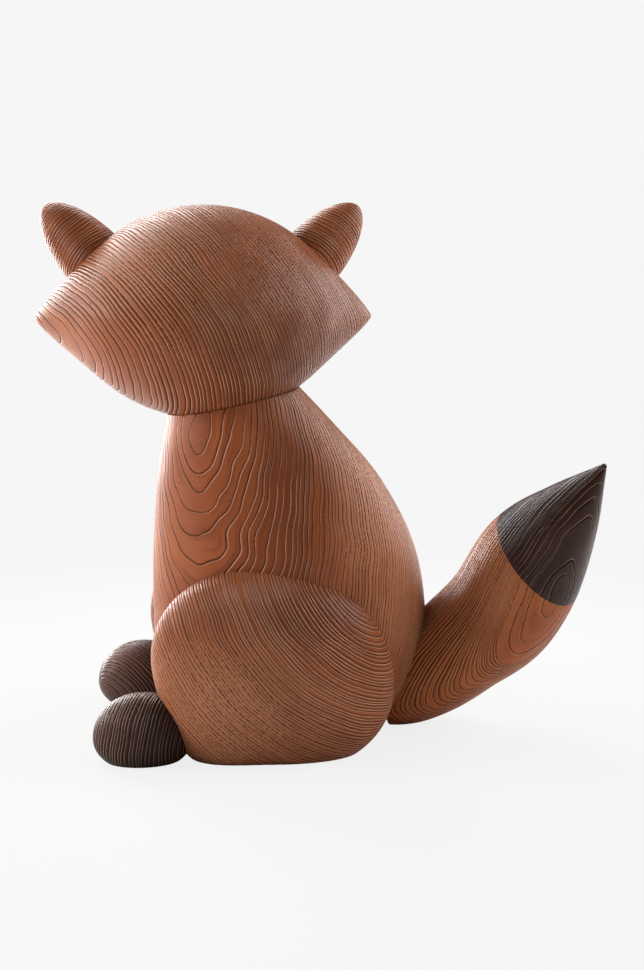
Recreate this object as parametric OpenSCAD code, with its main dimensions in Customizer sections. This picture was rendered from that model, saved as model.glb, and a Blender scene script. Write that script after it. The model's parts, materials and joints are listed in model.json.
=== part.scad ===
// A sitting wooden fox, carved and turned in separate pieces of ash and put together with dowels.
// Origin on the neck dowel's axis at ground level, +Z up. The chest faces -X and the tail lies at +X.
// The head turns on the neck dowel. As modelled, it looks along +Y, over the fox's right shoulder.

/* [Neck] */
// Height of the neck's dished top at its lowest point
neck_height = 142.2; // [136:0.2:148]
// Radius of the sphere that the head's underside and the neck's dish share
seat_r = 67.3; // [64:0.1:72]
// Clearance between the dish and the head
seat_gap = 0.3; // [0.15:0.05:0.5]
// Reach of the finished seat on the head's underside, from the axis
seat_reach = 44.5; // [42:0.5:45.5]
// Radius of the neck dowel
neck_dowel_r = 6; // [4:0.5:8]
// Depth of the neck dowel in the torso, and in the head
neck_dowel_depth = 34; // [20:1:40]
// Running clearance around the neck dowel in the head
turning_gap = 0.08; // [0.04:0.01:0.1]

/* [Head] */
// Height of the head from the neck to the top of its dome
head_height = 92.4; // [88:0.2:97]
// Radius of the dome over the head
dome_r = 66.6; // [64:0.1:70]
// Reach of the rounded back of the head, from the axis
back_reach = 62.5; // [58:0.5:66]
// Height of the edge at the back of the head above the neck
back_height = 45.3; // [43:0.1:48]
// Reach of each cheek's point
cheek_reach = 73.2; // [68:0.2:78]
// Height of each cheek's point above the neck
cheek_height = 44.1; // [41:0.1:47]
// Width of a cheek's flare, in degrees around the head
cheek_spread = 33; // [26:1:40]
// Reach of the muzzle's tip
muzzle_reach = 80; // [74:0.5:86]
// Height of the muzzle's tip above the neck
muzzle_height = 32.8; // [30:0.2:36]
// Width of the muzzle, in degrees around the head
muzzle_spread = 21; // [16:1:25]

/* [Face] */
// Radius of the nose
nose_r = 7; // [6:0.5:9]
// Radius of the nose's round tenon
nose_tenon_r = 3; // [2:0.5:4]
// Length of the nose's tenon in the muzzle
nose_tenon_length = 12; // [8:1:16]
// Radius of each eye
eye_r = 4.5; // [3:0.5:5]
// Depth of each eye's peg in the head
eye_depth = 6.5; // [4:0.5:9]
// Direction of each eye from the muzzle, in degrees around the head
eye_turn = 26; // [22:1:30]

/* [Ears] */
// Radius of an ear where it meets the head
ear_r = 14.3; // [12:0.1:16]
// Length of the pointed part of an ear
ear_length = 35; // [31:1:40]
// Length of an ear that stands out of the head, along its axis
ear_stand = 28.7; // [26:0.1:31]
// Depth of the round socket's wall that holds an ear's root
ear_socket = 3; // [2:0.5:5]
// Direction of an ear from the side of the head toward the face, in degrees around the head
ear_turn = 8.2; // [4:0.2:14]
// Rise of an ear's axis from level, in degrees
ear_rise = 48; // [42:1:54]

/* [Torso] */
// Reach of the chest in front of the neck dowel's axis
torso_front = 24.8; // [22:0.2:28]
// Reach of the back behind the axis
torso_back = 98.3; // [92:0.1:104]
// Half of the torso's width at its widest
torso_half_width = 48; // [44:0.5:52]

/* [Haunches] */
// Length of a haunch along its long axis
haunch_length = 108; // [100:1:116]
// Height of a haunch across its long axis
haunch_height = 86; // [80:1:92]
// Half of a haunch's thickness, from its middle to its outer face
haunch_half_thickness = 25; // [21:0.5:29]
// Distance of a haunch's middle behind the axis
haunch_back = 26; // [22:0.5:30]
// Height of a haunch's middle
haunch_middle_height = 37; // [34:0.5:40]
// Depth of a haunch's middle within the torso's widest side
haunch_inset = 8.5; // [6:0.5:12]
// Lean of a haunch's long axis, down toward the tail, in degrees
haunch_lean = 23.7; // [18:0.1:30]

/* [Feet] */
// Length of a foot
foot_length = 43; // [38:1:48]
// Width of a foot
foot_width = 29; // [25:1:33]
// Height of a foot's top from the ground
foot_height = 29.4; // [26:0.2:33]
// Distance of a foot's middle in front of the haunch's lower corner
foot_out = 11; // [8:0.5:14]

/* [Tail] */
// Reach of the tail's point behind the torso's back
tail_reach = 70.2; // [64:0.2:76]
// Height of the tail's point
tail_rise = 125; // [118:0.5:132]
// Sideways curl of the tail's point, toward the fox's left
tail_curl = 44; // [36:1:50]
// Radius of the tail at its thickest
tail_r = 25.6; // [23:0.2:28]

/* [Dowels] */
// Radius of the dowels that hold haunches, feet and ears
small_dowel_r = 3; // [2:0.5:4]
// Length of the dowels that hold haunches and ears
small_dowel_length = 24; // [18:1:26]
// Length of a foot's dowel
foot_dowel_length = 28; // [20:1:30]
// Radius of the dowels in the tail
tail_dowel_r = 4; // [3:0.5:5]
// Length of the dowel at the tail's root
tail_dowel_length = 40; // [30:1:44]
// Length of the dowel between the tail and its tip
tip_dowel_length = 32; // [24:1:36]
// Glue clearance around every glued dowel
glue_gap = 0.05; // [0.02:0.01:0.1]
// Clearance past a dowel's ends in its blind holes
end_gap = 0.5; // [0.2:0.1:1]

/* [Hidden] */
$fn = 64;
brown = "#965f44";
orange_brown = "#a5643c";
dark = "#463430";
bare_wood = "#d9bf94";
// The sides are the fox's own. Its left haunch is at -Y. Its left ear is at -X, as the head looks along +Y.
left = -1;
right = 1;
// How far a cutting shape runs past what it cuts
past = 1;

// Shape of the torso at eight levels, as shares of the neck's height, the front, the back and the half width
torso_levels = [
    [-0.04, 0.16, 0.72, 0.63],
    [0.07, 0.73, 0.88, 0.86],
    [0.22, 0.95, 0.98, 0.98],
    [0.39, 1.00, 1.00, 1.00],
    [0.60, 0.98, 0.94, 0.93],
    [0.81, 0.89, 0.78, 0.81],
    [0.98, 0.73, 0.57, 0.72],
    [1.18, 0.57, 0.30, 0.56]
];
// Shape of the tail from its root to its point, as shares of the reach, the curl, the rise and the radius
tail_line = [
    [-0.49, 0.00, 0.12, 0.43],
    [-0.30, 0.05, 0.12, 0.62],
    [-0.13, 0.11, 0.15, 0.76],
    [0.04, 0.14, 0.21, 0.87],
    [0.235, 0.17, 0.305, 0.925],
    [0.49, 0.24, 0.43, 1.00],
    [0.67, 0.41, 0.64, 0.97],
    [0.83, 0.72, 0.82, 0.58],
    [1.00, 1.00, 1.00, 0.03]
];
// Where the tip's joint crosses the tail's line, counted in its points, and the direction that it faces
tip_joint_at = 6.03;
tip_direction = [0.57, -0.50, 0.65];
// Corners where a haunch is fuller than an ellipse: direction, width in degrees, extra reach as a share
haunch_corners = [[-132, 24, 0.18], [42, 26, 0.05]];
// Powers under 1 that make the haunches and feet fuller than ellipsoids, and an ear fuller than a half egg
haunch_round = 0.9;
haunch_side_round = 0.95;
foot_round = 0.92;
ear_round = 0.54;

// Pulls on the flare's curve next to the edge, at the back, the cheeks and the muzzle, as [out, up]
lower_pulls = [[0, -10], [-0.6, -4], [-6, -9]];
upper_pulls = [[0, 13], [-0.8, 4.5], [-10, 13]];
// Pulls on that curve where it leaves the seat and where it joins the dome, and their distances from the axis
seat_pull = 11;
dome_pull = 12;
flare_start_r = seat_reach + 1.5;
seat_facets_r = seat_reach - 2;
dome_edge_r = 38.7;
// A cheek's point is rounded over this many degrees
cheek_rounding = 3;
// The faceted underside stays this far outside the finished seat until the seat is cut
seat_stock = 0.2;
seat_z = neck_height + seat_r;
dome_z = neck_height + head_height - dome_r;
edges = [
    [back_reach, neck_height + back_height],
    [cheek_reach, neck_height + cheek_height],
    [muzzle_reach, neck_height + muzzle_height]
];

// The muzzle's tip is cut flat for the nose, whose ball stands proud by this much less its radius
nose_set = 4;
nose_proud = 3;
nose_flat = muzzle_reach - nose_set;
nose_z = neck_height + muzzle_height;
// An eye's domed end is part of a ball this many times its radius
eye_dome = 1.25;
// An eye and an ear sit this share of the way up from the edge to the dome
eye_up = 0.5;
ear_up = 0.7;
ear_root = ear_length + ear_socket;
ear_socket_reach = 20;

haunch_y = torso_half_width - haunch_inset;
// A haunch's dowels, as [distance behind the haunch's middle, height above it]
haunch_dowel_spots = [[-18, 5], [18, 3]];
// Direction of the haunch's lower front corner, which the foot stands at
foot_corner = -154;
foot_x = haunch_back + haunch_reach(foot_corner) * cos(foot_corner) - foot_out;
foot_y = haunch_y + 1.5;
foot_middle_height = 10;
foot_belly = 14.5;
foot_dowel_x = foot_x + 12;
foot_dowel_height = foot_middle_height + 1;
tail_dowel_height = 22;
// The tail's dowel goes deeper in the torso than in the tail by twice this much
tail_dowel_inset = 4;

// Facets of the shaped pieces
torso_sides = 36;
torso_rings = 24;
head_sides = 52;
seat_rings = 5;
flare_rings = 7;
dome_rings = 4;
haunch_sides = 32;
haunch_rings = 11;
foot_sides = 22;
foot_rings = 8;
tail_sides = 24;
tail_rings = 28;
ear_steps = 18;

function mix(a, b, t) = a + (b - a) * t;
function unit(v) = v / norm(v);

// A smooth curve through rows of numbers, read at any value of the rows' first column
function row_before(rows, v, i = 0) =
    i >= len(rows) - 2 || v <= rows[i + 1][0] ? i : row_before(rows, v, i + 1);
function row_slope(rows, i) =
    let (a = rows[max(i - 1, 0)], b = rows[min(i + 1, len(rows) - 1)]) (b - a) / (b[0] - a[0]);
function row_at(rows, v) =
    let (
        i = row_before(rows, v),
        h = rows[i + 1][0] - rows[i][0],
        t = (v - rows[i][0]) / h
    )
    rows[i] * (2 * t ^ 3 - 3 * t ^ 2 + 1) + row_slope(rows, i) * h * (t ^ 3 - 2 * t ^ 2 + t)
    + rows[i + 1] * (3 * t ^ 2 - 2 * t ^ 3) + row_slope(rows, i + 1) * h * (t ^ 3 - t ^ 2);

// A cubic curve from a to d, pulled toward b and c
function curve(a, b, c, d, t) =
    a * (1 - t) ^ 3 + b * 3 * t * (1 - t) ^ 2 + c * 3 * t ^ 2 * (1 - t) + d * t ^ 3;

// A closed skin over rings of points, each ring anticlockwise seen from the last one's side
module skin(rings, first, last) {
    n = len(rings[0]);
    m = len(rings);
    points = [first, for (ring = rings) each ring, last];
    faces = [
        for (i = [0 : n - 1]) [0, 1 + i, 1 + (i + 1) % n],
        for (k = [0 : m - 2], i = [0 : n - 1])
            let (a = 1 + k * n + i, b = 1 + k * n + (i + 1) % n)
            each [[a, a + n, b + n], [a, b + n, b]],
        for (i = [0 : n - 1]) [m * n + 1, 1 + (m - 1) * n + (i + 1) % n, 1 + (m - 1) * n + i]
    ];
    polyhedron(points, faces, convexity = 6);
}

// What lies under the ground plane, for cutting resting faces flat
module ground() {
    reach = 400;
    translate([-reach / 2, -reach / 2, -reach]) cube(reach);
}

// Head: one profile for each direction around the axis. It follows the seat's sphere, flares to the
// edge, and turns back along the dome. The cheeks and the muzzle pull the edge out.
function cheek_weight(turn) =
    let (
        away = min(abs(turn), abs(180 - abs(turn))),
        rounded = sqrt(away ^ 2 + cheek_rounding ^ 2),
        full = (1 - cheek_rounding / cheek_spread) ^ 2
    )
    rounded < cheek_spread ? (1 - rounded / cheek_spread) ^ 2 / full : 0;
function muzzle_weight(turn) = exp(-((turn - 90) / muzzle_spread) ^ 2);

// Takes a list of three values: at the back, at the cheeks and at the muzzle
function blended(turn, three) =
    three[0] + (three[1] - three[0]) * cheek_weight(turn) + (three[2] - three[0]) * muzzle_weight(turn);

// Points of the profile are [distance from the axis, height]
function on_seat(r) = [r, seat_z - sqrt((seat_r + seat_stock) ^ 2 - r ^ 2)];
function on_dome(r) = [r, dome_z + sqrt(dome_r ^ 2 - r ^ 2)];
function seat_direction(r) = [sqrt(seat_r ^ 2 - r ^ 2), r] / seat_r;
function dome_direction(r) = [sqrt(dome_r ^ 2 - r ^ 2), -r] / dome_r;

function lower_flare(turn, t) =
    let (
        a = on_seat(flare_start_r),
        d = blended(turn, edges)
    )
    curve(a, a + seat_direction(flare_start_r) * seat_pull, d + blended(turn, lower_pulls), d, t);
function upper_flare(turn, t) =
    let (
        a = on_dome(dome_edge_r),
        d = blended(turn, edges)
    )
    curve(d, d + blended(turn, upper_pulls), a + dome_direction(dome_edge_r) * dome_pull, a, t);
function around(p, turn) = [p[0] * cos(turn), p[0] * sin(turn), p[1]];
function on_head(turn, t) = around(upper_flare(turn, t), turn);
function turns(sides) = [for (i = [0 : sides - 1]) -180 + 360 * i / sides];

module head_shape() {
    rings = [
        for (k = [1 : seat_rings])
            [for (turn = turns(head_sides)) around(on_seat(seat_facets_r * k / seat_rings), turn)],
        for (k = [0 : flare_rings])
            [for (turn = turns(head_sides)) around(lower_flare(turn, k / flare_rings), turn)],
        for (k = [1 : flare_rings])
            [for (turn = turns(head_sides)) around(upper_flare(turn, k / flare_rings), turn)],
        for (k = [dome_rings - 1 : -1 : 1])
            [for (turn = turns(head_sides)) around(on_dome(dome_edge_r * k / dome_rings), turn)]
    ];
    skin(rings, [0, 0, neck_height - seat_stock], [0, 0, dome_z + dome_r]);
}

// The true spherical seat on the head's underside: what is cut away outside the sphere
module seat_cut() {
    difference() {
        translate([0, 0, neck_height - past]) cylinder(r = seat_reach, h = seat_r);
        translate([0, 0, seat_z]) sphere(r = seat_r, $fn = 160);
    }
}

// The same sphere with its clearance, which dishes the top of the neck
module dish() {
    translate([0, 0, seat_z]) sphere(r = seat_r + seat_gap, $fn = 160);
}

// A frame at a place with its own Z axis along a direction
module along(place, direction) {
    d = unit(direction);
    translate(place) rotate([0, acos(d[2]), atan2(d[1], d[0])]) children();
}

// An ear's own Z axis runs inward from its tip
function ear_direction(side) = [side * cos(ear_rise), 0, sin(ear_rise)];
module ear_frame(side) {
    place = on_head(90 - side * (90 - ear_turn), ear_up);
    along(place + ear_stand * ear_direction(side), -ear_direction(side)) children();
}

// An eye's own Z axis runs outward, square to the head's surface
module eye_frame(side) {
    turn = 90 - side * eye_turn;
    step = 0.02;
    along_turn = on_head(turn + step, eye_up) - on_head(turn - step, eye_up);
    upward = on_head(turn, eye_up + step) - on_head(turn, eye_up - step);
    along(on_head(turn, eye_up), cross(along_turn, upward)) children();
}

module head() {
    color(brown) difference() {
        head_shape();
        seat_cut();
        translate([0, 0, neck_height - past])
            cylinder(r = neck_dowel_r + turning_gap, h = past + neck_dowel_depth + end_gap);
        translate([0, nose_flat, nose_z]) nose_cut();
        for (side = [left, right]) {
            ear_frame(side) translate([0, 0, ear_root - ear_socket_reach])
                cylinder(r = ear_r + glue_gap, h = ear_socket_reach);
            ear_frame(side) translate([0, 0, ear_root - past])
                cylinder(r = small_dowel_r + glue_gap, h = past + small_dowel_length / 2 + end_gap);
            eye_frame(side) translate([0, 0, -eye_depth - end_gap])
                cylinder(r = eye_r + glue_gap, h = 2 * eye_depth);
        }
    }
}

// The flat and the round mortise that take the nose
module nose_cut() {
    block = 4 * nose_r;
    translate([-block / 2, 0, -block / 2]) cube(block);
    translate([0, past, 0]) rotate([90, 0, 0])
        cylinder(r = nose_tenon_r + glue_gap, h = past + nose_tenon_length + end_gap);
}

module nose() {
    color(dark) translate([0, nose_flat, nose_z]) rotate([-90, 0, 0]) union() {
        difference() {
            translate([0, 0, nose_proud]) sphere(r = nose_r);
            translate([-nose_r, -nose_r, -2 * nose_r]) cube(2 * nose_r);
        }
        translate([0, 0, -nose_tenon_length]) cylinder(r = nose_tenon_r, h = nose_tenon_length + past);
    }
}

// An eye is a short peg with a domed end
module eye(side) {
    dome = eye_r * eye_dome;
    color(dark) eye_frame(side) union() {
        translate([0, 0, -eye_depth]) cylinder(r = eye_r, h = eye_depth);
        intersection() {
            translate([0, 0, -sqrt(dome ^ 2 - eye_r ^ 2)]) sphere(r = dome);
            cylinder(r = eye_r, h = dome);
        }
    }
}

module eye_left() {
    eye(left);
}

module eye_right() {
    eye(right);
}

// An ear is turned: half a pointed egg on a short round root that sits in a socket
function ear_radius(s) = ear_r * (1 - (1 - s / ear_length) ^ 2) ^ ear_round;
module ear(side) {
    profile = [
        [0, 0],
        for (k = [1 : ear_steps])
            let (s = ear_length * (1 - cos(90 * k / ear_steps)))
            [ear_radius(s), s],
        [ear_r, ear_root],
        [0, ear_root]
    ];
    color(brown) ear_frame(side) difference() {
        rotate_extrude() polygon(profile);
        translate([0, 0, ear_root - small_dowel_length / 2 - end_gap])
            cylinder(r = small_dowel_r + glue_gap, h = small_dowel_length / 2 + end_gap + past);
    }
}

module ear_left() {
    ear(left);
}

module ear_right() {
    ear(right);
}

module ear_dowel(side) {
    color(bare_wood) ear_frame(side) translate([0, 0, ear_root - small_dowel_length / 2])
        cylinder(r = small_dowel_r, h = small_dowel_length);
}

module ear_dowel_left() {
    ear_dowel(left);
}

module ear_dowel_right() {
    ear_dowel(right);
}

// Torso: elliptic sections between the front and back lines, as [height, front, back, half width]
torso_rows = [for (level = torso_levels) [
    neck_height * level[0], -torso_front * level[1], torso_back * level[2], torso_half_width * level[3]
]];
function torso_middle(row) = (row[1] + row[2]) / 2;
function torso_half(row) = (row[2] - row[1]) / 2;
function torso_ring(row) =
    [for (turn = turns(torso_sides))
        [torso_middle(row) + torso_half(row) * cos(turn), row[3] * sin(turn), row[0]]];

// Half width of the torso at a place along it and a height
function torso_side(x, z) =
    let (row = row_at(torso_rows, z))
    row[3] * sqrt(1 - ((x - torso_middle(row)) / torso_half(row)) ^ 2);

module torso_shape() {
    low = torso_rows[0];
    high = torso_rows[len(torso_rows) - 1];
    rows = [for (k = [0 : torso_rings]) row_at(torso_rows, mix(low[0], high[0], k / torso_rings))];
    skin([for (row = rows) torso_ring(row)],
        [torso_middle(low), 0, low[0]], [torso_middle(high), 0, high[0]]);
}

module torso() {
    color(brown) difference() {
        torso_shape();
        dish();
        ground();
        translate([0, 0, neck_height - neck_dowel_depth - end_gap])
            cylinder(r = neck_dowel_r + glue_gap, h = neck_dowel_depth + end_gap + past);
        for (side = [left, right]) haunch_dowel_pair(side, small_dowel_r + glue_gap, end_gap);
        tail_root_dowel(tail_dowel_r + glue_gap, end_gap);
    }
}

module neck_dowel() {
    color(bare_wood) translate([0, 0, neck_height - neck_dowel_depth])
        cylinder(r = neck_dowel_r, h = 2 * neck_dowel_depth);
}

// Haunch: a leaning pebble, fuller at two corners, scribed over the torso's side
function apart(a, b) = abs((a - b + 540) % 360 - 180);
function fuller(turn, corner) = corner[2] * exp(-(apart(turn, corner[0]) / corner[1]) ^ 2);
function haunch_reach(turn) =
    let (
        u = cos(turn + haunch_lean) * 2 / haunch_length,
        v = sin(turn + haunch_lean) * 2 / haunch_height
    )
    (1 + fuller(turn, haunch_corners[0]) + fuller(turn, haunch_corners[1])) / sqrt(u ^ 2 + v ^ 2);

function haunch_point(side, turn, lift) =
    let (
        r = haunch_reach(turn) * cos(lift) ^ haunch_round,
        out = haunch_half_thickness * sign(lift) * abs(sin(lift)) ^ haunch_side_round
    )
    [
        haunch_back + r * cos(turn),
        side * (haunch_y + out),
        haunch_middle_height + r * sin(turn)
    ];

module haunch_shape(side) {
    rings = [for (k = [1 : haunch_rings - 1])
        [for (turn = turns(haunch_sides)) haunch_point(side, -side * turn, -90 + 180 * k / haunch_rings)]];
    skin(rings, haunch_point(side, 0, -90), haunch_point(side, 0, 90));
}

// Two dowels, each half in the torso and half in the haunch, or their bores
module haunch_dowel_pair(side, r, spare) {
    length = small_dowel_length + 2 * spare;
    for (spot = haunch_dowel_spots) {
        x = haunch_back + spot[0];
        z = haunch_middle_height + spot[1];
        translate([x, side * torso_side(x, z), z]) rotate([90, 0, 0])
            cylinder(r = r, h = length, center = true);
    }
}

module haunch(side) {
    color(brown) difference() {
        haunch_shape(side);
        torso_shape();
        ground();
        haunch_dowel_pair(side, small_dowel_r + glue_gap, end_gap);
        foot_dowel(side, small_dowel_r + glue_gap, end_gap);
    }
}

module haunch_left() {
    haunch(left);
}

module haunch_right() {
    haunch(right);
}

module haunch_dowels(side) {
    color(bare_wood) haunch_dowel_pair(side, small_dowel_r, 0);
}

module haunch_dowels_left() {
    haunch_dowels(left);
}

module haunch_dowels_right() {
    haunch_dowels(right);
}

// Foot: an egg lying along the body, higher above its middle than below, scribed to the haunch
module foot_shape(side) {
    top = foot_height - foot_middle_height;
    middle = [foot_x, side * foot_y, foot_middle_height];
    rings = [for (k = [1 : foot_rings - 1])
        let (
            lift = -90 + 180 * k / foot_rings,
            share = cos(lift) ^ foot_round,
            up = sin(lift) * (lift > 0 ? top : foot_belly)
        )
        [for (turn = turns(foot_sides))
            middle + [share * cos(turn) * foot_length / 2, share * sin(turn) * foot_width / 2, up]]];
    skin(rings, middle - [0, 0, foot_belly], middle + [0, 0, top]);
}

module foot(side) {
    color(dark) difference() {
        foot_shape(side);
        haunch_shape(side);
        ground();
        foot_dowel(side, small_dowel_r + glue_gap, end_gap);
    }
}

module foot_left() {
    foot(left);
}

module foot_right() {
    foot(right);
}

module foot_dowel(side, r, spare) {
    translate([foot_dowel_x, side * foot_y, foot_dowel_height]) rotate([0, 90, 0])
        cylinder(r = r, h = foot_dowel_length + 2 * spare, center = true);
}

module foot_dowel_left() {
    color(bare_wood) foot_dowel(left, small_dowel_r, 0);
}

module foot_dowel_right() {
    color(bare_wood) foot_dowel(right, small_dowel_r, 0);
}

// Tail: round sections square to a smooth line, whose rows are [count, x, y, z, radius]
tail_rows = [for (i = [0 : len(tail_line) - 1])
    let (p = tail_line[i])
    [i, torso_back + tail_reach * p[0], -tail_curl * p[1], tail_rise * p[2], tail_r * p[3]]];
function tail_middle(t) = let (row = row_at(tail_rows, t)) [row[1], row[2], row[3]];
function tail_radius(t) = row_at(tail_rows, t)[4];
function tail_ring(t) =
    let (
        step = 0.02,
        d = unit(tail_middle(t + step) - tail_middle(t - step)),
        across = unit(cross([0, 1, 0], d)),
        over = cross(d, across)
    )
    [for (turn = turns(tail_sides))
        tail_middle(t) + tail_radius(t) * (across * cos(turn) + over * sin(turn))];

module tail_shape() {
    last = len(tail_rows) - 1;
    stops = [for (k = [0 : tail_rings]) last * k / tail_rings];
    skin([for (t = stops) tail_ring(t)], tail_middle(0), tail_middle(last));
}

// All that lies beyond the joint, on the tip's side
module beyond_joint() {
    reach = 2 * tail_rise;
    along(tail_middle(tip_joint_at), tip_direction) translate([-reach / 2, -reach / 2, 0]) cube(reach);
}

module tail_root_dowel(r, spare) {
    x = row_at(torso_rows, tail_dowel_height)[2] - tail_dowel_inset;
    translate([x, 0, tail_dowel_height]) rotate([0, 90, 0])
        cylinder(r = r, h = tail_dowel_length + 2 * spare, center = true);
}

module tip_dowel(r, spare) {
    along(tail_middle(tip_joint_at), tip_direction)
        cylinder(r = r, h = tip_dowel_length + 2 * spare, center = true);
}

module tail() {
    color(orange_brown) difference() {
        tail_shape();
        beyond_joint();
        torso_shape();
        ground();
        tail_root_dowel(tail_dowel_r + glue_gap, end_gap);
        tip_dowel(tail_dowel_r + glue_gap, end_gap);
    }
}

module tail_dowel() {
    color(bare_wood) tail_root_dowel(tail_dowel_r, 0);
}

module tail_tip() {
    color(dark) difference() {
        intersection() {
            tail_shape();
            beyond_joint();
        }
        tip_dowel(tail_dowel_r + glue_gap, end_gap);
    }
}

module tail_tip_dowel() {
    color(bare_wood) tip_dowel(tail_dowel_r, 0);
}

torso();
neck_dowel();
head();
nose();
eye_left();
eye_right();
ear_left();
ear_right();
ear_dowel_left();
ear_dowel_right();
haunch_left();
haunch_right();
haunch_dowels_left();
haunch_dowels_right();
foot_left();
foot_right();
foot_dowel_left();
foot_dowel_right();
tail();
tail_dowel();
tail_tip();
tail_tip_dowel();
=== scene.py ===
# A sitting fox of brushed ash. Each wooden piece is a dense surface that stands for its node of the packed
# frame, and its growth rings are worked out in depth, as layers of the blank that it was carved from.
import json

import bpy
import numpy as np
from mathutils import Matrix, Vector


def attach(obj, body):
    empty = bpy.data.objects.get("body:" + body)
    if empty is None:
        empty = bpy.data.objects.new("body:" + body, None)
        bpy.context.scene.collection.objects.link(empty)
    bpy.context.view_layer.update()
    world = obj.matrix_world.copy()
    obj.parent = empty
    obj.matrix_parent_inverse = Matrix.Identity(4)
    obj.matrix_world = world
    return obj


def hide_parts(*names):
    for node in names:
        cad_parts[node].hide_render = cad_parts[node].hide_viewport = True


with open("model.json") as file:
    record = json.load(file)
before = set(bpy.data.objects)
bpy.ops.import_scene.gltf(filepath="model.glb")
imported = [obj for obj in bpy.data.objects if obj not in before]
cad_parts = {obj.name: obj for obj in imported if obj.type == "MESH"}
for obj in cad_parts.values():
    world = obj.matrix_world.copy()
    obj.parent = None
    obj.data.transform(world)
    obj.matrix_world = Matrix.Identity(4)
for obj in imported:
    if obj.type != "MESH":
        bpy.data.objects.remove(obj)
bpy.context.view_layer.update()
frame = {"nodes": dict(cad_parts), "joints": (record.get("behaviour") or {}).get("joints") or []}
print("frame:", len(frame["nodes"]), "nodes")

mm = 0.001  # the surfaces are worked out in millimetres
neckHeight = frame["joints"][0]["pos_m"][2] / mm
sunk = 0.25  # how far a scribed piece reaches into its neighbour, so that no light shows between them


def readRows(rows, at):
    # cubic Hermite curve through the rows, read at any value of their first column
    rows = np.asarray(rows, float)
    keys = rows[:, 0]
    slopes = np.gradient(rows, keys, axis=0)
    slopes[1:-1] = (rows[2:] - rows[:-2]) / (keys[2:] - keys[:-2])[:, None]
    at = np.asarray(at, float)
    i = np.clip(np.searchsorted(keys, at) - 1, 0, len(keys) - 2)
    step = (keys[i + 1] - keys[i])[..., None]
    t = (at - keys[i])[..., None] / step
    return (rows[i] * (2 * t**3 - 3 * t**2 + 1) + slopes[i] * step * (t**3 - 2 * t**2 + t)
            + rows[i + 1] * (3 * t**2 - 2 * t**3) + slopes[i + 1] * step * (t**3 - t**2))


def bezier(a, b, c, d, t):
    # cubic curve from a to d, pulled toward b and c
    return a * (1 - t) ** 3 + b * 3 * t * (1 - t) ** 2 + c * 3 * t**2 * (1 - t) + d * t**3


def solve(inside, low, high):
    # halves the interval 30 times: inside(value) says for each element whether the wanted value is higher
    for _ in range(30):
        middle = (low + high) / 2
        higher = inside(middle)
        low = np.where(higher, middle, low)
        high = np.where(higher, high, middle)
    return (low + high) / 2


def turns(count):
    # that many angles, evenly spaced once round
    return np.linspace(-np.pi, np.pi, count, endpoint=False)


def unit(v):
    # each vector over its own length
    return v / np.linalg.norm(v, axis=-1, keepdims=True)


# head
headSizes = {
    "seatR": 67.3, "seatReach": 44.5, "seatStock": 0.2,
    "height": 92.4, "domeR": 66.6, "domeEdge": 38.7,
    "edges": [(62.5, 45.3), (73.2, 44.1), (80.0, 32.8)],  # reach and height of the back, cheeks and muzzle
    "lowerPulls": [(0, -10), (-0.6, -4), (-6, -9)], "upperPulls": [(0, 13), (-0.8, 4.5), (-10, 13)],
    "seatPull": 11, "domePull": 12, "lip": 1.5,
    "cheekSpread": 33, "cheekRounding": 3, "muzzleSpread": 21, "noseFlat": 76, "poleGap": 0.02,
    "sides": 460, "rings": (40, 40, 66, 50),  # rings of the seat, the two flares and the dome
}


def blended(turn, three):
    # the back's value, plus the cheeks' and the muzzle's difference from it times their weights
    s = headSizes
    degrees = np.degrees(turn)
    away = np.minimum(abs(degrees), abs(180 - abs(degrees)))
    rounded = np.hypot(away, s["cheekRounding"])
    full = (1 - s["cheekRounding"] / s["cheekSpread"]) ** 2
    cheek = np.clip(1 - rounded / s["cheekSpread"], 0, None) ** 2 / full
    muzzle = np.exp(-((degrees - 90) / s["muzzleSpread"]) ** 2)
    back, side, front = np.asarray(three, float)
    return back + (side - back) * cheek[..., None] + (front - back) * muzzle[..., None]


def headProfile(turn, w):
    # radius and height: a circle's arc over the seat while w runs 0 to 1, a cubic curve out to the edge from
    # 1 to 2, another one back in from 2 to 3, and a second circle's arc over the dome from 3 to 4
    s = headSizes
    seatZ = neckHeight + s["seatR"]
    domeZ = neckHeight + s["height"] - s["domeR"]
    turn, w = np.broadcast_arrays(turn, w)
    t = (w - np.floor(np.clip(w, 0, 3.999)))[..., None]

    def onSeat(r, stock=0):
        # the lower half of the seat's ball, a little fuller with stock
        return np.stack([r, seatZ - np.sqrt((s["seatR"] + stock) ** 2 - r**2)], -1)

    def onDome(r):
        # the upper half of the dome's ball
        return np.stack([r, domeZ + np.sqrt(s["domeR"] ** 2 - r**2)], -1)

    edge = blended(turn, [(r, neckHeight + z) for r, z in s["edges"]])
    flareR = np.full(turn.shape, s["seatReach"] + s["lip"])
    domeR = np.full(turn.shape, s["domeEdge"])
    seatWay = np.stack([np.sqrt(s["seatR"] ** 2 - flareR**2), flareR], -1) / s["seatR"]
    domeWay = np.stack([np.sqrt(s["domeR"] ** 2 - domeR**2), -domeR], -1) / s["domeR"]
    start = onSeat(flareR, s["seatStock"])
    end = onDome(domeR)
    seat = onSeat(s["seatReach"] * t[..., 0])
    lower = bezier(start, start + seatWay * s["seatPull"], edge + blended(turn, s["lowerPulls"]), edge, t)
    upper = bezier(edge, edge + blended(turn, s["upperPulls"]), end + domeWay * s["domePull"], end, t)
    dome = onDome(s["domeEdge"] * (1 - t[..., 0]))
    part = w[..., None]
    return np.where(part < 1, seat, np.where(part < 2, lower, np.where(part < 3, upper, dome)))


def onHead(turn, w):
    # the profile's radius and height, turned about the neck's axis
    p = headProfile(turn, w)
    turn = np.broadcast_to(turn, p.shape[:-1])
    return np.stack([p[..., 0] * np.cos(turn), p[..., 0] * np.sin(turn), p[..., 1]], -1)


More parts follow.
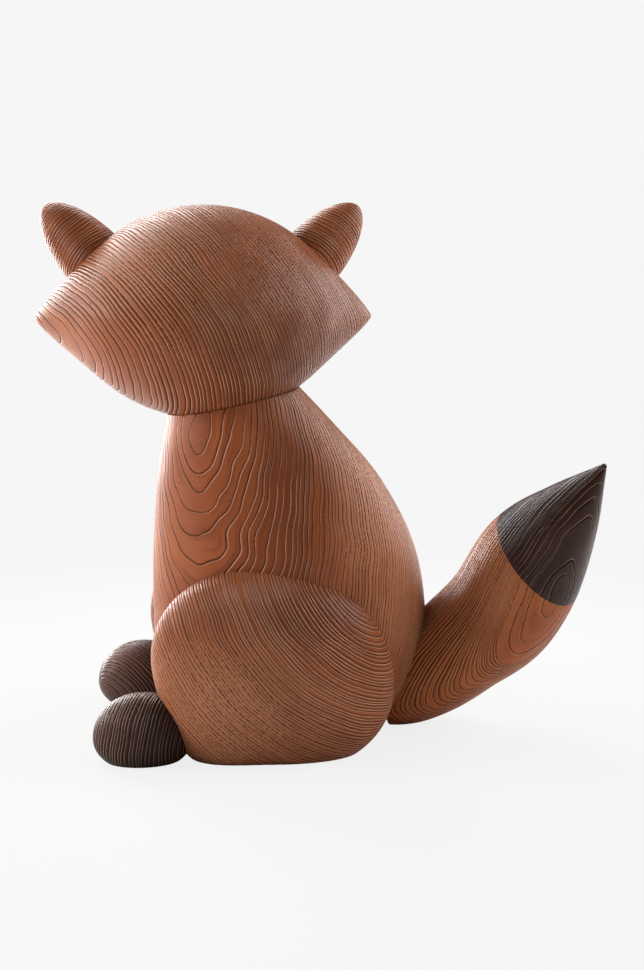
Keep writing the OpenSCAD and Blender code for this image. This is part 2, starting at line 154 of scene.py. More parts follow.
def headRows():
    # rings round the profile from the seat's pole to the dome's, with the muzzle planed flat for the nose
    s = headSizes
    seat, lower, upper, dome = s["rings"]
    w = np.concatenate([np.linspace(s["poleGap"], 1, seat, endpoint=False),
                        np.linspace(1, 2, lower, endpoint=False), np.linspace(2, 3, upper, endpoint=False),
                        np.linspace(3, 4 - s["poleGap"], dome)])
    rows = onHead(turns(s["sides"])[None, :], w[:, None])
    rows[..., 1] = np.minimum(rows[..., 1], s["noseFlat"])
    return rows, rows[0].mean(0), rows[-1].mean(0)


# A piece's grain: the way across its flat layers, or its pith's place and way; the depth at which it starts;
# how far apart rings lie there, how far beyond a reach, and the reach; waves (length, size and seed); figures
# where a layer bulges, and patches (centre, reach and amount) that make the wood lighter above nought, with
# thinner lines and smoother relief, and darker below it: mostly a painted sheen above nought and a painted
# shade below.
headGrain = {"way": (0.84, 0.25, 0.485), "start": 26, "apart": (2.0, 1.42, 30),
             "waves": [(36, 0.8, 0), (19, 0.3, 2)],
             # patches: painted shade over the right half of the head's side that faces the camera, and a
             # painted sheen with smoother relief at its upper left
             "patches": [((40, -50, 172), (42, 60, 34), -1.1), ((-28, -20, 208), (24, 60, 20), 0.7)]}


# torso
torsoSizes = {
    "front": 24.8, "back": 98.3, "halfWidth": 48, "dishR": 67.6,
    "rimBetween": (130.0, 167.0), "heights": (-5, 165), "sides": 460, "rings": 190, "capRings": 12,
    # shares of the neck's height, the front, the back and the half width
    "levels": [(-0.04, 0.16, 0.72, 0.63), (0.07, 0.73, 0.88, 0.86), (0.22, 0.95, 0.98, 0.98),
               (0.39, 1, 1, 1), (0.60, 0.98, 0.94, 0.93), (0.81, 0.89, 0.78, 0.81),
               (0.98, 0.73, 0.57, 0.72), (1.18, 0.57, 0.30, 0.56)],
}


def torsoSection(z):
    # middle, half length and half width of the torso's ellipse at a height
    s = torsoSizes
    rows = np.array(s["levels"]) * [neckHeight, -s["front"], s["back"], s["halfWidth"]]
    row = readRows(rows, z)
    return (row[..., 1] + row[..., 2]) / 2, (row[..., 2] - row[..., 1]) / 2, row[..., 3]


def onTorso(turn, z):
    # the ellipse's point at a turn
    middle, half, width = torsoSection(z)
    return np.stack([middle + half * np.cos(turn), width * np.sin(turn), z + 0 * turn], -1)


def torsoSide(x, z):
    # half width at a place along the torso and a height, and 0 past its ends
    middle, half, width = torsoSection(np.clip(z, *torsoSizes["heights"]))
    return width * np.sqrt(np.clip(1 - ((x - middle) / half) ** 2, 0, None))


def capRows(ring, count, outward):
    # rings that close a flat end: a share of the rim and the rest of its middle, outward or inward
    share = np.linspace(0, 1, count, endpoint=False)[1:, None, None]
    rows = ring * share + ring.mean(0) * (1 - share)
    return rows if outward else rows[::-1]


def torsoRows():
    # ellipses from the ground to the rim, where they meet the dish's ball; a flat foot below, the dish above
    s = torsoSizes
    turn = turns(s["sides"])
    dish = np.array([0, 0, neckHeight + headSizes["seatR"]])
    rim = solve(lambda z: np.linalg.norm(onTorso(turn, z) - dish, axis=-1) > s["dishR"],
                *(np.full(turn.shape, z) for z in s["rimBetween"]))
    up = np.linspace(0, 1, s["rings"])[:, None]
    wall = onTorso(turn[None, :], rim * up)
    foot = capRows(wall[0], s["capRings"], True)
    top = capRows(wall[-1], s["capRings"], False)
    top[..., 2] = dish[2] - np.sqrt(s["dishR"] ** 2 - top[..., 0] ** 2 - top[..., 1] ** 2)
    rows = np.concatenate([foot, wall, top])
    last = rows[-1].mean(0)
    last[2] = dish[2] - np.sqrt(s["dishR"] ** 2 - last[0] ** 2 - last[1] ** 2)
    return rows, foot[0].mean(0), last


torsoGrain = {"way": (0.57, 0.80, -0.24), "start": -60, "apart": (2.1, 1.45, 16),
              "waves": [(24, 0.6, 1), (14, 0.35, 3)], "figures": [((-4, -28, 131), (10, 14, 15), -3.6)],
              # patches: painted shade over the middle and upper torso under the head, and a painted sheen
              # down the torso's back, which faces the right-hand lamps, where the lines also break into
              # dashes
              "patches": [((34, -40, 112), (14, 60, 50), -0.8), ((66, -30, 108), (18, 60, 34), 0.6),
                          ((88, -30, 70), (18, 60, 36), 0.6)]}


# haunches
haunchSizes = {
    "length": 108, "height": 86, "halfThickness": 25, "back": 26, "middleHeight": 37, "y": 39.5, "lean": 23.7,
    "corners": [(-132, 24, 0.18), (42, 26, 0.05)],  # degrees, spread and how much fuller
    "round": 0.9, "sideRound": 0.95, "sides": 400, "rings": 190,
}


def haunchReach(turn):
    # a leaning ellipse's radius at a turn, fuller by a bell curve at each corner
    s = haunchSizes
    degrees = np.degrees(turn)
    lean = turn + np.radians(s["lean"])
    fuller = 1
    for corner, width, extra in s["corners"]:
        apart = abs((degrees - corner + 540) % 360 - 180)
        fuller = fuller + extra * np.exp(-(apart / width) ** 2)
    return fuller / np.hypot(np.cos(lean) * 2 / s["length"], np.sin(lean) * 2 / s["height"])


def onHaunch(side, turn, lift):
    # a pebble: the reach narrows with the lift's cosine, and the thickness follows its sine
    s = haunchSizes
    r = haunchReach(turn) * np.clip(np.cos(lift), 0, 1) ** s["round"]
    out = s["halfThickness"] * np.sign(lift) * abs(np.sin(lift)) ** s["sideRound"]
    return np.stack([s["back"] + r * np.cos(turn), side * (s["y"] + out + 0 * turn),
                     s["middleHeight"] + r * np.sin(turn)], -1)


def haunchRows(side):
    # rings from the pebble's inner pole to its outer one, held above the ground and outside the torso's wall
    s = haunchSizes
    lift = np.linspace(-np.pi / 2, np.pi / 2, s["rings"] + 2)[1:-1, None]
    rows = onHaunch(side, -side * turns(s["sides"])[None, :], lift)
    rows[..., 2] = np.maximum(rows[..., 2], 0)
    wall = torsoSide(rows[..., 0], rows[..., 2]) - sunk
    rows[..., 1] = side * np.maximum(abs(rows[..., 1]), wall)
    first = rows[0].mean(0)
    last = onHaunch(side, np.array(0.0), np.array(np.pi / 2))
    return rows, first, last


def haunchInside(side, p):
    # whether points lie in the haunch's full form
    s = haunchSizes
    dx = p[..., 0] - s["back"]
    dz = p[..., 2] - s["middleHeight"]
    share = np.clip(np.hypot(dx, dz) / haunchReach(np.arctan2(dz, dx)), 0, 1)
    lift = np.arccos(share ** (1 / s["round"]))
    out = s["halfThickness"] * np.sin(lift) ** s["sideRound"]
    return (share < 1) & (abs(side * p[..., 1] - s["y"]) < out)


haunchGrains = {
    -1: {"pith": (98, -60, 108), "way": (0.05, 1, 0.05), "start": 0, "apart": (1.4, 1.4, 50),
         "waves": [(30, 0.6, 0), (16, 0.4, 1)],
         # patches: painted light over the near haunch's lower front, which also thins its lines to dashes and
         # smooths its relief, and painted shade along its top
         "patches": [((0, -60, 30), (40, 60, 32), 0.7), ((40, -60, 66), (44, 60, 16), -1.0)]},
    1: {"pith": (-40, 60, 118), "way": (-0.2, 1, 0.35), "start": 0, "apart": (1.4, 1.4, 50),
        "waves": [(28, 0.6, 3), (15, 0.4, 2)]},
}


# feet
footSizes = {"length": 43, "width": 29, "height": 29.4, "belly": 14.5, "middleHeight": 10, "out": 11,
             "corner": np.radians(-154), "aside": 1.5, "round": 0.92, "furthest": 60.0,
             "sides": 260, "rings": 130}


def footRows(side):
    # an egg of flat ellipses, held above the ground; what lies in the haunch moves ahead to its surface
    s = footSizes
    x = haunchSizes["back"] + haunchReach(s["corner"]) * np.cos(s["corner"]) - s["out"]
    middle = np.array([x, side * (haunchSizes["y"] + s["aside"]), s["middleHeight"]])
    lift = np.linspace(-np.pi / 2, np.pi / 2, s["rings"] + 2)[1:-1, None]
    turn = turns(s["sides"])[None, :]
    share = np.cos(lift) ** s["round"]
    up = np.sin(lift) * np.where(lift > 0, s["height"] - s["middleHeight"], s["belly"])
    rows = middle + np.stack([share * np.cos(turn) * s["length"] / 2, share * np.sin(turn) * s["width"] / 2,
                              up + 0 * turn], -1)
    rows[..., 2] = np.maximum(rows[..., 2], 0)
    ahead = np.array([-1.0, 0, 0])
    move = solve(lambda v: haunchInside(side, rows + v[..., None] * ahead),
                 np.zeros(rows.shape[:2]), np.full(rows.shape[:2], s["furthest"]))
    inside = haunchInside(side, rows)
    rows = rows + (np.clip(move - sunk, 0, None) * inside)[..., None] * ahead
    return rows, rows[0].mean(0), rows[-1].mean(0)


footGrains = {
    -1: {"way": (0.92, -0.36, -0.14), "start": -60, "apart": (1.4, 1.4, 50), "waves": [(14, 0.4, 3)],
         # patch: painted sheen over the near foot's front, where its stripes are also softer
         "patches": [((-50, -40, 28), (20, 40, 13), 0.5)]},
    1: {"way": (0.60, 0.70, 0.36), "start": -60, "apart": (1.3, 1.3, 50), "waves": [(14, 0.4, 1)],
        # patch: painted sheen over the far foot's front and top
        "patches": [((-50, 22, 34), (24, 40, 22), 1.2)]},
}


# tail
tailSizes = {
    "reach": 70.2, "rise": 125, "curl": 44, "r": 25.6, "sides": 280,
    # nine stations: shares of the reach, the curl, the rise and the radius
    "line": [(-0.49, 0, 0.12, 0.43), (-0.30, 0.05, 0.12, 0.62), (-0.13, 0.11, 0.15, 0.76),
             (0.04, 0.14, 0.21, 0.87), (0.24, 0.17, 0.30, 0.94), (0.49, 0.24, 0.43, 1.02),
             (0.67, 0.41, 0.64, 0.96), (0.83, 0.72, 0.82, 0.58), (1, 1, 1, 0.03)],
    # places along the line, counted in stations
    "starts": 1.2, "jointAt": 6.03, "jointBetween": (4.0, 7.9), "ends": 7.995,
    "jointWay": (0.57, -0.50, 0.65), "backBelow": 150, "rings": 230, "tipRings": 150, "capRings": 8,
}


def tailMiddle(t):
    # middle line and radius: a smooth curve through the stations, at any station between
    s = tailSizes
    line = np.array(s["line"])
    rows = np.stack([np.arange(len(line)), torsoSizes["back"] + s["reach"] * line[:, 0],
                     -s["curl"] * line[:, 1], s["rise"] * line[:, 2], s["r"] * line[:, 3]], -1)
    return readRows(rows, t)[..., 1:]


def onTail(turn, t):
    # a circle round the middle line, square to the line's own way there
    turn, t = np.broadcast_arrays(turn, t)
    at = tailMiddle(t)
    step = 0.02
    d = unit(tailMiddle(t + step)[..., :3] - tailMiddle(t - step)[..., :3])
    across = unit(np.cross([0, 1, 0], d))
    over = np.cross(d, across)
    return at[..., :3] + at[..., 3:] * (across * np.cos(turn)[..., None] + over * np.sin(turn)[..., None])


def tailJoint():
    # for each turn, the place along the line where the surface crosses the joint's plane
    s = tailSizes
    turn = turns(s["sides"])
    place = tailMiddle(np.array(s["jointAt"]))[:3]
    way = unit(np.array(s["jointWay"]))
    at = solve(lambda t: (onTail(turn, t) - place) @ way < 0,
               *(np.full(turn.shape, t) for t in s["jointBetween"]))
    return turn, at


def tailRows():
    # sections from inside the torso to the tip's joint, held above the ground and behind the torso's back
    s = tailSizes
    turn, joint = tailJoint()
    along = np.linspace(0, 1, s["rings"])[:, None]
    rows = onTail(turn[None, :], s["starts"] + (joint - s["starts"]) * along)
    rows[..., 2] = np.maximum(rows[..., 2], 0)
    middle, half, width = torsoSection(rows[..., 2])
    back = middle + half * np.sqrt(np.clip(1 - (rows[..., 1] / width) ** 2, 0, None)) - sunk
    rows[..., 0] = np.maximum(rows[..., 0], np.where(rows[..., 2] < s["backBelow"], back, 0))
    rows = np.concatenate([rows, capRows(rows[-1], s["capRings"], False)])
    return rows, rows[0].mean(0), rows[-1].mean(0)


def tipRows():
    # sections from the joint's plane to the point, with the joint's flat face closed
    s = tailSizes
    turn, joint = tailJoint()
    along = np.linspace(0, 1, s["tipRings"])[:, None]
    rows = onTail(turn[None, :], joint + (s["ends"] - joint) * along)
    rows = np.concatenate([capRows(rows[0], s["capRings"], True), rows])
    return rows, rows[0].mean(0), tailMiddle(np.array(len(s["line"]) - 1.0))[:3]


tailGrain = {"way": (-0.252, 0.939, 0.234), "start": -47.5, "apart": (0.7, 1.8, 6),
             # patch: lighter wood with fainter lines and smoother relief in the middle of the tail's side
             # towards the camera
             "waves": [(34, 0.35, 2), (15, 0.15, 1)], "patches": [((122, -30, 76), (14, 40, 26), 0.4)]}
tipGrain = {"way": (-0.28, 0.90, 0.33), "start": -76.3, "apart": (0.9, 1.8, 8),
            "waves": [(24, 0.4, 0), (12, 0.2, 1)], "figures": [((153, -39, 71), (6, 9, 9), -2.6)]}


# ears
earSizes = {"r": 14.3, "length": 35, "stand": 28.7, "socket": 3, "turn": 8.2, "rise": 48, "round": 0.54,
            "up": 2.7, "sides": 220, "rings": 110, "socketRings": 6, "capRings": 8}


def frameAlong(place, way):
    # columns: two directions across, and the way itself
    way = unit(np.asarray(way, float))
    across = unit(np.cross([0.0, 1, 0] if abs(way[1]) < 0.8 else [1.0, 0, 0], way))
    return place, np.stack([across, np.cross(way, across), way], -1)


def turned(profile, place, axes, sides):
    # a profile of radii and distances along the way, carried round it
    r, along = np.array(profile).T
    turn = turns(sides)
    local = np.stack([r[:, None] * np.cos(turn), r[:, None] * np.sin(turn), along[:, None] + 0 * turn], -1)
    rows = place + local @ axes.T
    return rows, rows[0].mean(0), rows[-1].mean(0)


def earFrame(side):
    # the ear's tip, which stands off the head along its rise, and the way back from it to the head
    s = earSizes
    turn = np.radians(90 - side * (90 - s["turn"]))
    rise = np.radians(s["rise"])
    way = np.array([side * np.cos(rise), 0, np.sin(rise)])
    return frameAlong(onHead(np.array(turn), np.array(s["up"])) + s["stand"] * way, -way)


def earRows(side):
    # half a pointed egg: the radius grows as one less a square, to a power, and stays the same in the socket
    s = earSizes
    place, axes = earFrame(side)
    along = np.concatenate([s["length"] * (1 - np.cos(np.linspace(0.02, np.pi / 2, s["rings"]))),
                            s["length"] + np.linspace(0.4, s["socket"], s["socketRings"])])
    r = s["r"] * np.clip(1 - (1 - np.minimum(along, s["length"]) / s["length"]) ** 2, 0, 1) ** s["round"]
    r = np.concatenate([r, r[-1] * np.linspace(0.9, 0.1, s["capRings"])])
    along = np.concatenate([along, np.full(s["capRings"], along[-1])])
    rows, _, last = turned(np.stack([r, along], -1), place, axes, s["sides"])
    return rows, place, last


earGrains = {
    -1: {"way": (-0.73, 0.45, 0.66), "start": 0, "apart": (1.4, 1.4, 50), "waves": [(16, 0.4, 0)]},
    1: {"way": (0.67, 0.45, 0.74), "start": 0, "apart": (1.5, 1.5, 50), "waves": [(16, 0.4, 3)]},
}


# nose and eyes, turned from profiles: each linspace ends with its number of rings, and stops a little short
# of the axis or of a corner, so that no two rings lie in one place
noseSizes = {"height": 32.8, "proud": 3, "r": 7, "tenonR": 3, "tenonLength": 12, "sides": 96}
eyeSizes = {"r": 4.5, "depth": 6.5, "dome": 1.25, "turn": 26, "up": 2.5, "sides": 96}


def noseRows():
    # a tenon, a flat back, and a ball that stands proud of it
    s = noseSizes
    place, axes = frameAlong(np.array([0, headSizes["noseFlat"], neckHeight + s["height"]]), (0, 1, 0))
    back = np.sqrt(s["r"] ** 2 - s["proud"] ** 2)
    sweep = np.linspace(-np.arcsin(s["proud"] / s["r"]), np.pi / 2 - 0.02, 60)
    tenon = [(r, -s["tenonLength"]) for r in np.linspace(0.3, s["tenonR"], 5)]
    tenon += [(s["tenonR"], v) for v in np.linspace(-s["tenonLength"] + 0.3, -0.2, 12)]
    flat = [(r, 0) for r in np.linspace(s["tenonR"], back, 8, endpoint=False)]
    ball = [(s["r"] * np.cos(a), s["proud"] + s["r"] * np.sin(a)) for a in sweep]
    return turned(tenon + flat + ball, place, axes, s["sides"])


def eyeRows(side):
    # a peg with a domed end, square to the head's surface
    s = eyeSizes
    turn = np.radians(90 - side * s["turn"])
    step = 0.001
    # the place itself, then a little before and after it along the turn, and a little below and above it
    near = onHead(*np.transpose([(turn, s["up"]), (turn - step, s["up"]), (turn + step, s["up"]),
                                 (turn, s["up"] - step), (turn, s["up"] + step)]))
    place, axes = frameAlong(near[0], np.cross(near[2] - near[1], near[4] - near[3]))
    ball = s["r"] * s["dome"]
    peg = [(r, -s["depth"]) for r in np.linspace(0.4, s["r"], 6)]
    peg += [(s["r"], v) for v in np.linspace(-s["depth"] + 0.3, 0, 16)]
    sink = np.sqrt(ball**2 - s["r"] ** 2)
    lifts = np.linspace(np.arccos(s["r"] / ball), 1.55, 40)[1:]
    dome = [(ball * np.cos(a), ball * np.sin(a) - sink) for a in lifts]
    return turned(peg + dome, place, axes, s["sides"])


def gridFaces(m, n):
    # quads between neighbouring rings, and a fan of triangles at each end
    k, i = np.meshgrid(np.arange(m - 1), np.arange(n), indexing="ij")
    a = 1 + k * n + i
    b = 1 + k * n + (i + 1) % n
    quads = np.stack([a, b, b + n, a + n], -1).reshape(-1, 4)
    i = np.arange(n)
    after = (i + 1) % n
    last = 1 + (m - 1) * n
    fans = np.concatenate([np.stack([0 * i, 1 + after, 1 + i], -1),
                           np.stack([0 * i + last + n, last + i, last + after], -1)])
    return quads, fans


def drift(p, length, seed):
    # a smooth pattern between -1 and 1: the mean of four sines with about that wavelength in mm, whose ways,
    # lengths and starts are spread by the seed and the fixed numbers
    i = np.arange(4)
    a = seed * 1.7 + i * 2.4
    b = seed * 0.9 + i * 1.3
    ways = np.stack([np.cos(a) * np.cos(b), np.sin(a) * np.cos(b), np.sin(b)])
    return np.sin(p @ ways * (2 * np.pi / length) * (0.8 + 0.13 * i) + seed * 3 + i * 1.9).mean(-1)


bunching = [(0.22, 0.9, 0), (0.10, 2.3, 1)]  # how rings crowd and part again: size, pace and start


def ringNumber(grain, p):
    # the depth in the blank, flat layers or layers round a pith, made wavy and raised at its figures,
    # and counted in rings that lie near mm apart at the start and far mm apart beyond the reach
    if "pith" in grain:
        way = unit(np.array(grain["way"], float))
        out = p - np.array(grain["pith"], float)
        depth = np.linalg.norm(out - (out @ way)[:, None] * way, axis=1)
    else:
        depth = p @ unit(np.array(grain["way"], float))
    for length, size, seed in grain["waves"]:
        depth = depth + size * drift(p, length, seed)
    for centre, reach, height in grain.get("figures", []):
        depth = depth + height * np.exp(-(((p - centre) / reach) ** 2).sum(1))
    depth = depth - grain["start"]
    near, far, reach = grain["apart"]
    number = depth / far + (1 / near - 1 / far) * reach * (1 - np.exp(-np.clip(depth, -reach, None) / reach))
    return number + sum(size * np.sin(pace * number + start) for size, pace, start in bunching)


def growth(grain, p, normals):
    # the ring number at each point, and how far apart the rings lie along the surface, in mm:
    # one over the part of the number's slope that lies in the surface
    number = ringNumber(grain, p)
    step = 0.05
    leastSlope = 0.08
    slope = np.stack([(ringNumber(grain, p + move) - number) / step for move in np.eye(3) * step], -1)
    slope = slope - (slope * normals).sum(1)[:, None] * normals
    return number, 1 / np.clip(np.linalg.norm(slope, axis=1), leastSlope, None)


def paintedLightAndWear(grain, p):
    # painted light and shade, with some wear: above nought lighter wood with thinner lines and smoother
    # relief, mostly a painted sheen, and below nought a painted shade; a sum of soft round patches
    lightAndWear = np.zeros(len(p))
    for centre, reach, amount in grain.get("patches", []):
        lightAndWear += amount * np.exp(-(((p - centre) / reach) ** 2).sum(1))
    return lightAndWear


meshing = {"sharpAngle": np.radians(48), "pitchBetween": (0.4, 12)}


def makePiece(name, surface, body, nodes, material, grain):
    # a closed mesh from rings of points between a first and a last point, with the grain and the patches of
    # painted light and shade as attributes
    rows, first, last = surface
    p = np.concatenate([[first], rows.reshape(-1, 3), [last]])
    quads, fans = gridFaces(*rows.shape[:2])
    mesh = bpy.data.meshes.new(name)
    mesh.vertices.add(len(p))
    mesh.vertices.foreach_set("co", (p * mm).ravel())
    mesh.loops.add(quads.size + fans.size)
    mesh.loops.foreach_set("vertex_index", np.concatenate([quads.ravel(), fans.ravel()]))
    mesh.polygons.add(len(quads) + len(fans))
    starts = np.concatenate([np.arange(len(quads)) * 4, quads.size + np.arange(len(fans)) * 3])
    mesh.polygons.foreach_set("loop_start", starts)
    mesh.update(calc_edges=True)
    mesh.validate()
    mesh.shade_smooth()
    mesh.set_sharp_from_angle(angle=meshing["sharpAngle"])
    normals = np.empty(len(p) * 3)
    mesh.vertices.foreach_get("normal", normals)
    number, pitch = growth(grain, p, normals.reshape(-1, 3))
    onPoints = {"ring": number, "pitch": np.clip(pitch, *meshing["pitchBetween"]), "paintedLightAndWear": paintedLightAndWear(grain, p)}
    for attribute, values in onPoints.items():
        mesh.attributes.new(attribute, "FLOAT", "POINT").data.foreach_set("value", values)
    mesh.materials.append(material)
    piece = bpy.data.objects.new(name, mesh)
    bpy.context.collection.objects.link(piece)
    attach(piece, body)
    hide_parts(*nodes)
    print("piece:", name, len(mesh.polygons), "faces, rings", round(number.min()), "to", round(number.max()))


def linear(code):
    # an sRGB hex colour as linear red, green, blue and alpha
    c = np.array([int(code[i:i + 2], 16) for i in (1, 3, 5)]) / 255
    return (*np.where(c > 0.04045, ((c + 0.055) / 1.055) ** 2.4, c / 12.92), 1)


def addNode(tree, kind, inputs=None, out=0, **settings):
    # a node with its settings; inputs gives a socket a number, a colour or another node's output
    made = tree.nodes.new("ShaderNode" + kind)
    for name, value in settings.items():
        setattr(made, name, value)
    for name, value in (inputs or {}).items():
        if isinstance(value, bpy.types.NodeSocket):
            tree.links.new(value, made.inputs[name])
        else:
            made.inputs[name].default_value = value
    return made.outputs[out] if made.outputs else made


def emptyMaterial(name):
    # a material without nodes, and its node tree
    material = bpy.data.materials.new(name)
    material.use_nodes = True
    material.node_tree.nodes.clear()
    return material, material.node_tree


# Ash, stained, wire-brushed across its growth rings and waxed. The brush takes the soft spring wood out of
# each ring, so the eye sees a dark open groove, a pale crest beside it and smooth brown wood between; the
# crest's pale colour is partly rubbed stain and partly a painted highlight. The darker patch colour is
# painted shade, and the paler one a painted sheen that in places also stands for worn stain.
brownAsh = {"wood": ("#8c4824", "#9c552e"), "streak": "#76381b", "paintedShade": "#6a3115", "wornAndSheen": "#b67c5a",
            "groove": "#4a2110", "crest": "#cc9570", "crestStrength": 0.8, "roughness": 0.41, "specular": 0.2}
# the same ash under a more orange stain, so the tail looks warmer than the body
orangeAsh = brownAsh | {"wood": ("#9a4f25", "#ab5e30"), "streak": "#82401c", "groove": "#4c220f",
                        "crest": "#cb8f60", "wornAndSheen": "#c0825a"}
# the same ash under a near-black stain, where the crests show grey-brown, partly rubbed stain and partly a
# painted highlight, and the wax shines more
darkAsh = brownAsh | {"wood": ("#2e1710", "#3c2218"), "streak": "#24120c", "paintedShade": "#1c0e09",
                      "wornAndSheen": "#7c5f54", "groove": "#140a07", "crest": "#8e6c5a", "roughness": 0.34,
                      "specular": 0.16}

# what the brush leaves under every stain; lengths in mm, and each share is of the distance between two rings
brush = {
    "wander": 0.4,  # how far, in rings, the ring lines wander
    "narrow": 0.02, "wide": 0.13, "halfShare": 0.09,  # half a groove's flat bottom
    "edge": 0.24, "edgeShare": 0.19, "wall": 0.6,  # its edge in colour, and its wall in depth
    "crestWidth": 0.32, "crestInward": 0.3, "crestShare": 0.42,  # the crest beside it
    "faintest": 0.55, "faintRings": 0.6, "secondDraw": 7.31,  # the rings whose groove is fainter
    "dash": (0.42, 0.54), "pore": (1.02, 1.12), "poreGather": 0.5, "poreDepth": 0.6,  # fades of the noise
    "streakSize": 30, "streakLayer": 0.07, "streak": (0.46, 0.70), "streakMost": 0.75,  # along the rings
    "relief": 0.5, "crestHeight": 0.3, "scratch": 0.08, "grooveRoughness": 0.8,
    "tight": (0.6, 1.7), "tightDepth": 0.25,  # rings that run tight are cut shallower
}
# where a patch lies fully above nought, a painted sheen that also stands for wear: what is left of the lines
# and of the relief, and how much of the paler colour shows
wearAndSheen = {"lines": 0.2, "relief": 0.45, "colour": 0.8}

# soft noise in the wood: its size in mm and its detail, and for some the noise values that it fades between
# and what it fades from and to
rangeSockets = ("From Min", "From Max", "To Min", "To Max")
softNoise = {
    "wander": (11, 1.0), "gaps": (1.4, 1.0), "pores": (0.9, 0.0), "scratches": (1.3, 2.0),
    "unbroken": (30, 1.0, 0.48, 0.66, 1.0, 0.45), "crestPaleness": (14, 2.0, 0.36, 0.62, 0.35, 1.0),
    "slow": (42, 3.0, 0.35, 0.65, 0.0, 1.0),
}


def ashMaterial(name, look):
    # a point's distance from its ring line makes the grooves and crests, which noise breaks and wears; they
    # are mixed over the wood's colour one after the other, and cut into it as relief
    material, tree = emptyMaterial(name)
    place = addNode(tree, "TexCoord", out="Object")
    ring, pitch, lightAndWear = [addNode(tree, "Attribute", out="Fac", attribute_name=kept)
                         for kept in ("ring", "pitch", "paintedLightAndWear")]
    soft = {}
    for kept, (size, detail, *fade) in softNoise.items():
        soft[kept] = addNode(tree, "TexNoise", {"Vector": place, "Scale": 1 / (size * mm), "Detail": detail})
        if fade:
            soft[kept] = addNode(tree, "MapRange", {"Value": soft[kept], **dict(zip(rangeSockets, fade))})

    # how far, in mm, a point lies past the nearest ring line
    count = addNode(tree, "Math", {0: soft["wander"], 1: brush["wander"], 2: ring}, operation="MULTIPLY_ADD")
    number = addNode(tree, "Math", {0: count}, operation="ROUND")
    share = addNode(tree, "Math", {0: count, 1: number}, operation="SUBTRACT")
    past = addNode(tree, "Math", {0: share, 1: pitch}, operation="MULTIPLY")
    away = addNode(tree, "Math", {0: past}, operation="ABSOLUTE")

    # the groove breaks into dashes, most under the patches above nought, the painted sheen
    lines = addNode(tree, "MapRange", {"Value": lightAndWear, "To Min": 1.0, "To Max": wearAndSheen["lines"]})
    unbroken = addNode(tree, "Math", {0: soft["unbroken"], 1: lines}, operation="MULTIPLY")
    dash = addNode(tree, "MapRange", {"Value": soft["gaps"], "From Min": brush["dash"][0],
                                      "From Max": brush["dash"][1], "To Min": unbroken},
                   interpolation_type="SMOOTHSTEP")

    # each ring has its own groove width and strength, and no groove fills the distance between two rings
    chance = addNode(tree, "TexWhiteNoise", {"W": number}, noise_dimensions="1D")
    drawn = addNode(tree, "MapRange", {"Value": chance, "To Min": brush["narrow"], "To Max": brush["wide"]})
    most = addNode(tree, "Math", {0: pitch, 1: brush["halfShare"]}, operation="MULTIPLY")
    half = addNode(tree, "Math", {0: drawn, 1: most}, operation="MINIMUM")
    edge = addNode(tree, "Math", {0: pitch, 1: brush["edgeShare"]}, operation="MULTIPLY")
    edge = addNode(tree, "Math", {0: edge, 1: brush["edge"]}, operation="MINIMUM")
    rim = addNode(tree, "Math", {0: half, 1: edge}, operation="ADD")
    foot = addNode(tree, "Math", {0: half, 1: brush["wall"]}, operation="ADD")
    strong = addNode(tree, "Math", {0: number, 1: brush["secondDraw"]}, operation="ADD")
    strong = addNode(tree, "TexWhiteNoise", {"W": strong}, noise_dimensions="1D")
    strong = addNode(tree, "MapRange", {"Value": strong, "From Max": brush["faintRings"],
                                        "To Min": brush["faintest"]})
    groove, sunken = [addNode(tree, "MapRange", {"Value": away, "From Min": half, "From Max": reach,
                                                 "To Min": 1.0, "To Max": 0.0},
                              interpolation_type="SMOOTHSTEP") for reach in (rim, foot)]
    groove = addNode(tree, "Math", {0: groove, 1: dash}, operation="MULTIPLY")
    groove = addNode(tree, "Math", {0: groove, 1: strong}, operation="MULTIPLY")
    sunken = addNode(tree, "Math", {0: sunken, 1: dash}, operation="MULTIPLY")

    # a crest runs beside each groove, on its outer side; its pale colour is partly rubbed stain and partly a
    # painted highlight on the ridge
    crestAt = addNode(tree, "Math", {0: half, 1: brush["edge"] + brush["crestInward"] * brush["crestWidth"]},
                      operation="ADD")
    crestMost = addNode(tree, "Math", {0: pitch, 1: brush["crestShare"]}, operation="MULTIPLY")
    crestAt = addNode(tree, "Math", {0: crestAt, 1: crestMost}, operation="MINIMUM")
    crestAway = addNode(tree, "Math", {0: past, 1: crestAt}, operation="SUBTRACT")
    crestAway = addNode(tree, "Math", {0: crestAway}, operation="ABSOLUTE")
    crest = addNode(tree, "MapRange", {"Value": crestAway, "From Max": brush["crestWidth"], "To Min": 1.0,
                                       "To Max": 0.0}, interpolation_type="SMOOTHSTEP")
    crest = addNode(tree, "Math", {0: crest, 1: soft["crestPaleness"]}, operation="MULTIPLY")
    crest = addNode(tree, "Math", {0: crest, 1: lines}, operation="MULTIPLY")

    # open pores: dots under a millimetre wide that gather in patches
    pores = addNode(tree, "Math", {0: soft["wander"], 1: brush["poreGather"], 2: soft["pores"]},
                    operation="MULTIPLY_ADD")
    pores = addNode(tree, "MapRange", {"Value": pores, "From Min": brush["pore"][0],
                                       "From Max": brush["pore"][1], "To Max": brush["poreDepth"]},
                    interpolation_type="SMOOTHSTEP")
    dark = addNode(tree, "Math", {0: groove, 1: pores}, operation="MAXIMUM")

